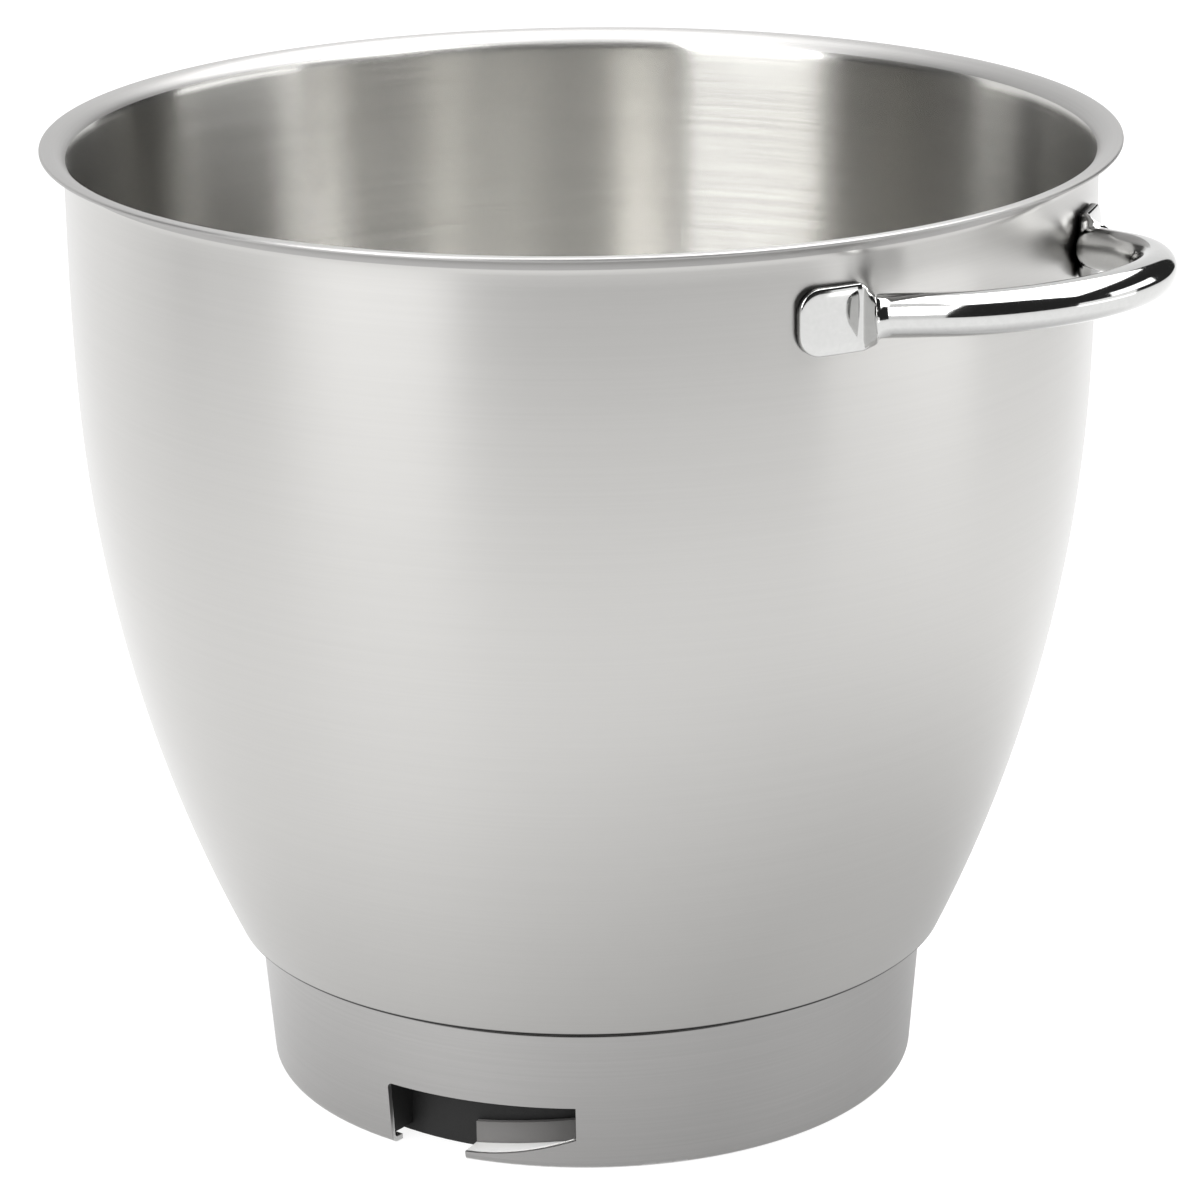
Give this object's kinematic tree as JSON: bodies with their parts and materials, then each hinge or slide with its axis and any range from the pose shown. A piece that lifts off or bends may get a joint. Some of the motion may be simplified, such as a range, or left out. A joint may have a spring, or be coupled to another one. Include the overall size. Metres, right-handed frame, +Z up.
{
  "type": "stand mixer bowl",
  "caption": "Deep stainless steel mixing bowl with a turned-out rim, a side handle and a slotted bayonet foot ring that locks it onto a stand mixer's base.",
  "frame": {"origin": "on the bowl's axis, in the plane that the foot stands on", "axes": "+Z up along the bowl's axis, +X from the axis through the middle of the handle, +Y completes the right-handed frame"},
  "size_m": [0.2829, 0.25, 0.228],
  "materials": {
    "bowl_steel": "soft polish outside, fine turned brushing inside",
    "foot_steel": "soft polish",
    "liner_plastic": "matt black",
    "handle_steel": "mirror polish"
  },
  "bodies": {
    "root": {"bowl_shell": "bowl_steel", "foot_ring": "foot_steel", "foot_liner": "liner_plastic", "handle": "handle_steel"}
  },
  "joints": []
}
